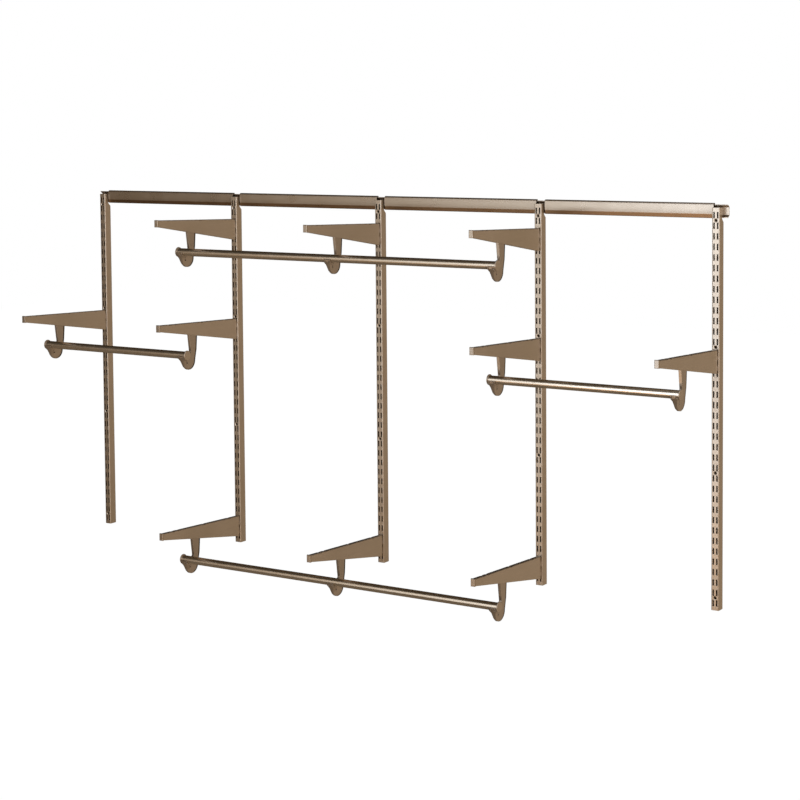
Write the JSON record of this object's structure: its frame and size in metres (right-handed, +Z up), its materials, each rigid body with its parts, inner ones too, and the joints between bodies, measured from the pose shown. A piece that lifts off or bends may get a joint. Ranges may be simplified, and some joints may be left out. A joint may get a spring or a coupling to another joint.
{
  "type": "wall mounted closet system",
  "caption": "Wall hang rail with slotted uprights, hook-in tapered shelf brackets, and hanging rods that lift out of hooks under the brackets.",
  "frame": {"origin": "on the wall plane, at the mid height of the hang rail, in line with the centre upright", "axes": "+X along the rail to the right as seen from the room, +Y into the wall, +Z up"},
  "size_m": [2.4944, 0.4341, 1.288],
  "materials": {
    "rail": "satin champagne bronze",
    "cover": "satin champagne bronze",
    "upright": "satin champagne bronze",
    "bracket": "satin champagne bronze",
    "tip_cap": "satin, metallic tint",
    "hanger": "satin champagne bronze",
    "rod": "satin champagne bronze",
    "rod_cap": "satin, metallic tint"
  },
  "bodies": {
    "frame": {"hang_rail": "rail", "rail_cover_1": "cover", "rail_cover_2": "cover", "rail_cover_3": "cover", "rail_cover_4": "cover", "upright_1": "upright", "upright_2": "upright", "upright_3": "upright", "upright_4": "upright", "upright_5": "upright"},
    "bracket_set_1_middle": {"bracket_1_middle": "bracket", "bracket_cap_1_middle": "tip_cap", "rod_hanger_1_middle": "hanger"},
    "bracket_set_2_top": {"bracket_2_top": "bracket", "bracket_cap_2_top": "tip_cap", "rod_hanger_2_top": "hanger"},
    "bracket_set_2_middle": {"bracket_2_middle": "bracket", "bracket_cap_2_middle": "tip_cap", "rod_hanger_2_middle": "hanger"},
    "bracket_set_2_bottom": {"bracket_2_bottom": "bracket", "bracket_cap_2_bottom": "tip_cap", "rod_hanger_2_bottom": "hanger"},
    "bracket_set_3_top": {"bracket_3_top": "bracket", "bracket_cap_3_top": "tip_cap", "rod_hanger_3_top": "hanger"},
    "bracket_set_3_bottom": {"bracket_3_bottom": "bracket", "bracket_cap_3_bottom": "tip_cap", "rod_hanger_3_bottom": "hanger"},
    "bracket_set_4_top": {"bracket_4_top": "bracket", "bracket_cap_4_top": "tip_cap", "rod_hanger_4_top": "hanger"},
    "bracket_set_4_middle": {"bracket_4_middle": "bracket", "bracket_cap_4_middle": "tip_cap", "rod_hanger_4_middle": "hanger"},
    "bracket_set_4_bottom": {"bracket_4_bottom": "bracket", "bracket_cap_4_bottom": "tip_cap", "rod_hanger_4_bottom": "hanger"},
    "bracket_set_5_middle": {"bracket_5_middle": "bracket", "bracket_cap_5_middle": "tip_cap", "rod_hanger_5_middle": "hanger"},
    "rod_set_top": {"rod_top": "rod", "rod_cap_top_left": "rod_cap", "rod_cap_top_right": "rod_cap"},
    "rod_set_bottom": {"rod_bottom": "rod", "rod_cap_bottom_left": "rod_cap", "rod_cap_bottom_right": "rod_cap"},
    "rod_set_left": {"rod_left": "rod", "rod_cap_left_left": "rod_cap", "rod_cap_left_right": "rod_cap"},
    "rod_set_right": {"rod_right": "rod", "rod_cap_right_left": "rod_cap", "rod_cap_right_right": "rod_cap"}
  },
  "joints": [
    {"name": "bracket_1_middle_lift", "type": "slide", "parent": "frame", "child": "bracket_set_1_middle", "axis": [0, 0, 1], "range_m": [0, 0.0085]},
    {"name": "bracket_2_top_lift", "type": "slide", "parent": "frame", "child": "bracket_set_2_top", "axis": [0, 0, 1], "range_m": [0, 0.0085]},
    {"name": "bracket_2_middle_lift", "type": "slide", "parent": "frame", "child": "bracket_set_2_middle", "axis": [0, 0, 1], "range_m": [0, 0.0085]},
    {"name": "bracket_2_bottom_lift", "type": "slide", "parent": "frame", "child": "bracket_set_2_bottom", "axis": [0, 0, 1], "range_m": [0, 0.0085]},
    {"name": "bracket_3_top_lift", "type": "slide", "parent": "frame", "child": "bracket_set_3_top", "axis": [0, 0, 1], "range_m": [0, 0.0085]},
    {"name": "bracket_3_bottom_lift", "type": "slide", "parent": "frame", "child": "bracket_set_3_bottom", "axis": [0, 0, 1], "range_m": [0, 0.0085]},
    {"name": "bracket_4_top_lift", "type": "slide", "parent": "frame", "child": "bracket_set_4_top", "axis": [0, 0, 1], "range_m": [0, 0.0085]},
    {"name": "bracket_4_middle_lift", "type": "slide", "parent": "frame", "child": "bracket_set_4_middle", "axis": [0, 0, 1], "range_m": [0, 0.0085]},
    {"name": "bracket_4_bottom_lift", "type": "slide", "parent": "frame", "child": "bracket_set_4_bottom", "axis": [0, 0, 1], "range_m": [0, 0.0085]},
    {"name": "bracket_5_middle_lift", "type": "slide", "parent": "frame", "child": "bracket_set_5_middle", "axis": [0, 0, 1], "range_m": [0, 0.0085]},
    {"name": "rod_top_lift", "type": "slide", "parent": "bracket_set_3_top", "child": "rod_set_top", "axis": [0, 0, 1], "range_m": [0, 0.03]},
    {"name": "rod_bottom_lift", "type": "slide", "parent": "bracket_set_3_bottom", "child": "rod_set_bottom", "axis": [0, 0, 1], "range_m": [0, 0.03]},
    {"name": "rod_left_lift", "type": "slide", "parent": "bracket_set_1_middle", "child": "rod_set_left", "axis": [0, 0, 1], "range_m": [0, 0.03]},
    {"name": "rod_right_lift", "type": "slide", "parent": "bracket_set_4_middle", "child": "rod_set_right", "axis": [0, 0, 1], "range_m": [0, 0.03]}
  ],
  "couplings": [
    {"joint": "bracket_2_top_lift", "follows": "bracket_3_top_lift", "ratio": 1},
    {"joint": "bracket_4_top_lift", "follows": "bracket_3_top_lift", "ratio": 1},
    {"joint": "bracket_2_bottom_lift", "follows": "bracket_3_bottom_lift", "ratio": 1},
    {"joint": "bracket_4_bottom_lift", "follows": "bracket_3_bottom_lift", "ratio": 1},
    {"joint": "bracket_2_middle_lift", "follows": "bracket_1_middle_lift", "ratio": 1},
    {"joint": "bracket_5_middle_lift", "follows": "bracket_4_middle_lift", "ratio": 1}
  ]
}
